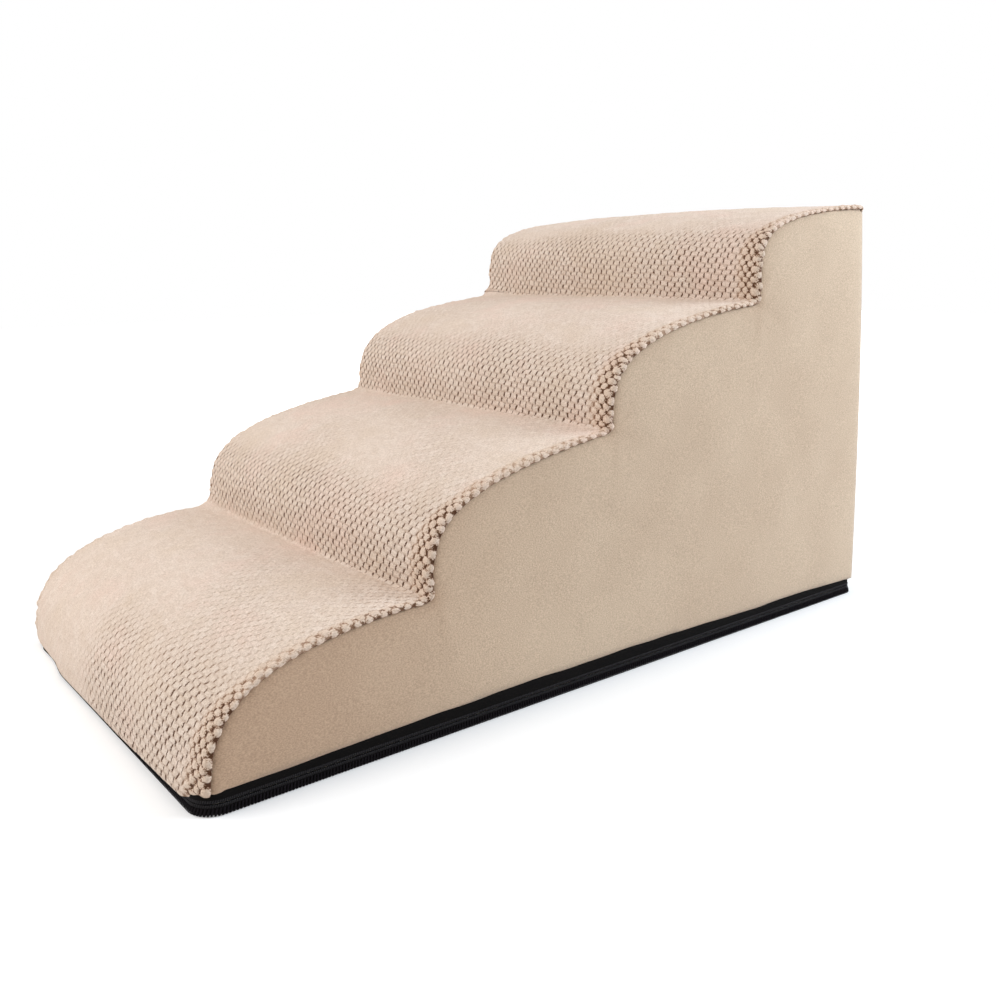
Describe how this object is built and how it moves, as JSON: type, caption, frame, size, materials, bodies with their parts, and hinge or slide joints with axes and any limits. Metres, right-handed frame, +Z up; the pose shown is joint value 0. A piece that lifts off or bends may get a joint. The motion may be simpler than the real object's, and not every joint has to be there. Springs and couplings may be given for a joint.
{
  "type": "pet stairs",
  "caption": "Foam pet stairs with rounded steps, a plush strip over the treads and risers, flat suede sides and a grip base closed by a zip.",
  "frame": {"origin": "on the floor, under the middle of the stairs", "axes": "+Z up, +Y from the toe of the first step to the back, +X to the right of someone who looks along +Y"},
  "size_m": [0.4068, 0.7247, 0.4036],
  "materials": {
    "plush": "pelleted plush",
    "suede": "short-napped suede cloth",
    "foam": "cut open-cell foam",
    "grip_fabric": "black cloth with grip dots",
    "zip_tape": "black woven tape",
    "zip_coil": "black nylon coil",
    "zip_metal": "black enamel"
  },
  "bodies": {
    "base_mat": {"base_panel": "grip_fabric", "lower_zip_tape": "zip_tape", "lower_zip_coil": "zip_coil", "zip_start_stop": "zip_metal", "lower_end_stop": "zip_metal"},
    "stair_cover": {"foam_base_slab": "foam", "foam_second_slab": "foam", "foam_third_slab": "foam", "foam_top_slab": "foam", "plush_step_strip": "plush", "right_side_panel": "suede", "left_side_panel": "suede", "back_panel": "suede", "upper_zip_tape": "zip_tape", "upper_zip_coil": "zip_coil", "upper_end_stop": "zip_metal"},
    "zip_slider": {"slider_body": "zip_metal", "slider_crown": "zip_metal", "slider_lock_leaf": "zip_metal"},
    "zip_puller": {"zip_puller": "zip_metal"}
  },
  "joints": [
    {"name": "base_opening", "type": "hinge", "parent": "base_mat", "child": "stair_cover", "pos_m": [0, -0.3595, 0.0027], "axis": [1, 0, 0], "range_deg": [0, 60]},
    {"name": "slider_travel", "type": "slide", "parent": "stair_cover", "child": "zip_slider", "axis": [0, 1, 0], "range_m": [0, 0.66]},
    {"name": "puller_swing", "type": "hinge", "parent": "zip_slider", "child": "zip_puller", "pos_m": [-0.20365, -0.316, 0.00835], "axis": [0, 0, 1], "range_deg": [0, 165]}
  ]
}
